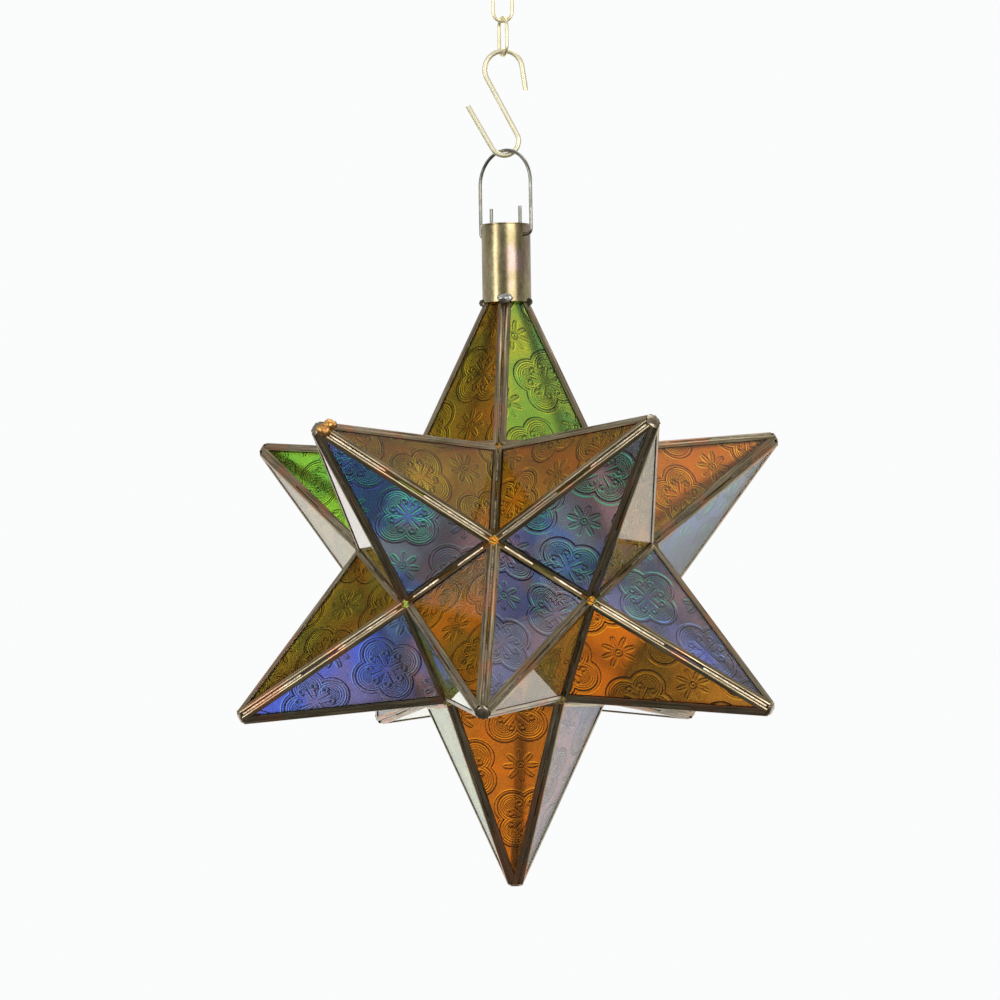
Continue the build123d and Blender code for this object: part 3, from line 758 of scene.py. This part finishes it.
def dress(names, body, material, inner=None, soft=50):
    """Smooth-shaded copies of frame pieces, sharp only where they turn by more than soft degrees.

    An inner material goes on the faces that look towards the star's centre.
    """
    for name in names:
        grown = merged_copy(name)
        for edge in grown.edges:
            edge.smooth = edge.calc_face_angle(pi) < radians(soft)
        layer = grown.loops.layers.uv.new("strip")
        for face in grown.faces:
            face.smooth = True
            if inner and face.normal.dot(face.calc_center_median() - STAR_CENTRE) < 0:
                face.material_index = 1
            longest = max(face.edges, key=lambda edge: edge.calc_length())
            along = (longest.verts[1].co - longest.verts[0].co).normalized()
            across = face.normal.cross(along)
            for corner in face.loops:
                corner[layer].uv = corner.vert.co.dot(along), corner.vert.co.dot(across)
        add_piece(name + "_dressed", grown, filter(None, (material, inner)), body, name)
    print("dressed", len(names), "in", material.name)


# %% [markdown]
# The faces of the channels that look into the star are given bright brass. This is painted light,
# which stands for the light they catch inside the star and throw back through the panes. Solder shares
# the channels' colours, but is smoother and catches more light. The beads under the collar are dull.

# %% Channels and solder
channel_metal = metal_finish("antiqued_channel", (0.155, 0.122, 0.066), (0.64, 0.53, 0.34),
                             (0.46, 0.21, 0.11), scale=520, rubbed=0.52, warmth=0.7,
                             rough=(0.22, 0.42), drawn=True)
# painted light: the inner faces are coloured bright for the light they catch inside the star
brass_inside_painted_lit = metal_finish("inside_brass_painted_lit", (0.70, 0.60, 0.38), (0.95, 0.88, 0.66), (0.62, 0.48, 0.30),
                            scale=520, rubbed=0.5, warmth=0.4, rough=(0.3, 0.42), drawn=True)
solder_metal = metal_finish("darkened_solder", (0.20, 0.16, 0.11), (0.62, 0.52, 0.38), (0.45, 0.22, 0.12),
                            scale=160, rubbed=0.5, warmth=0.6, rough=(0.22, 0.4), grain=0.08)
dull_solder = metal_finish("dull_solder", (0.11, 0.09, 0.07), (0.24, 0.20, 0.15), (0.20, 0.12, 0.08),
                           rough=(0.6, 0.75))
channel_names = sorted(name for name in nodes if name.startswith("channel_frames"))
dress(channel_names, BODY_OF_STAR, channel_metal, inner=brass_inside_painted_lit)
dress(["solder_ridge_seams", "solder_tip_caps", "solder_valley_seams"], BODY_OF_STAR, solder_metal)
dress(["solder_collar_beads"], BODY_OF_STAR, dull_solder)

# %% [markdown]
# Hand soldering leaves lumps. One is at the front of the collar, still bright, and the tip of the
# front left point has two that the flux burnt orange. Each is a ball drawn out to its size, with its
# skin pushed in and out by noise.

# %% Solder lumps
LUMP_NOISE_SCALE = 1.7
LUMP_NOISE_SHIFT = 400                # gives each lump, by its place, another stretch of the noise

bare_solder = metal_finish("bare_solder", (0.40, 0.39, 0.36), (0.80, 0.79, 0.75), (0.44, 0.36, 0.28),
                           scale=260, rubbed=0.5, warmth=0.4, rough=(0.26, 0.4), grain=0.05)
flux_burn = metal_finish("flux_burnt_solder", (0.42, 0.19, 0.06), (0.95, 0.55, 0.16), (0.36, 0.15, 0.09),
                         scale=420, rubbed=0.56, warmth=0.5, rough=(0.3, 0.5), grain=0.12)


def lump(name, centre, radii, material, roughness=0.22):
    grown = bmesh.new()
    bmesh.ops.create_icosphere(grown, subdivisions=3, radius=1)
    for vert in grown.verts:
        skin = noise_field.noise(vert.co * LUMP_NOISE_SCALE + centre * LUMP_NOISE_SHIFT)
        push = 1 + roughness * skin
        vert.co = centre + Vector(size * reach for size, reach in zip(radii, vert.co * push))
    for face in grown.faces:
        face.smooth = True
    add_piece(name, grown, [material], BODY_OF_STAR)


front_left = nodes["channel_frames_upper_front_left"].data.vertices
tip = max((vert.co for vert in front_left), key=lambda place: (place - STAR_CENTRE).length).copy()
inward = (STAR_CENTRE - tip).normalized()
collar_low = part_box("collar")[0]
lump("solder_lump_collar", Vector((0.5 * MM, collar_low.y + 0.3 * MM, collar_low.z + 1.8 * MM)),
     (4.4 * MM, 1.6 * MM, 2.8 * MM), bare_solder, roughness=0.35)
lump("solder_lump_tip_left", tip + inward * 2.2 * MM + Vector((-1.2, -0.8, -1.0)) * MM,
     (4.2 * MM, 3.6 * MM, 4.0 * MM), flux_burn)
lump("solder_lump_tip_upper", tip + inward * 3.4 * MM + Vector((1.4, -0.5, 2.6)) * MM,
     (4.0 * MM, 3.2 * MM, 3.0 * MM), flux_burn)
print("lumps at", [round(value, 3) for value in tip])

# %% [markdown]
# The collar is a rolled tube of the same sheet, brushed along its length before the patina, so its
# streaks run up and down. The bail is tinned steel wire, the hook pale brass, and the chain is bright
# gold plate. The frame draws the wires with twelve flats, and smooth shading makes them round.

# %% Collar, bail, hook and chain
collar_metal = metal_finish("brushed_collar", (0.20, 0.16, 0.08), (0.84, 0.73, 0.44), (0.34, 0.23, 0.21),
                            scale=50, rubbed=0.5, warmth=0.8, rough=(0.27, 0.33), stretch=(1, 1, 0.35),
                            grain=0.004)
bail_metal = metal_finish("tinned_wire", (0.22, 0.22, 0.18), (0.52, 0.52, 0.45), (0.36, 0.22, 0.14),
                          scale=120, rubbed=0.45, warmth=0.35, rough=(0.3, 0.36))
hook_metal = metal_finish("pale_brass_wire", (0.92, 0.85, 0.58), (1.0, 0.96, 0.76), (0.95, 0.82, 0.54),
                          scale=60, rubbed=0.6, warmth=0.4, rough=(0.46, 0.52), grain=0)
chain_metal = metal_finish("gold_plate", (0.94, 0.83, 0.50), (1.0, 0.95, 0.72), (0.95, 0.78, 0.42),
                           scale=140, rubbed=0.6, warmth=0.3, rough=(0.40, 0.46), grain=0)
dress(["collar"], BODY_OF_STAR, collar_metal)
dress(["bail"], "bail", bail_metal)
dress(["s_hook"], "hook", hook_metal)
dress(["chain_link_upper"], "upper_link", chain_metal)
dress(["chain_link_lower"], "lower_link", chain_metal)
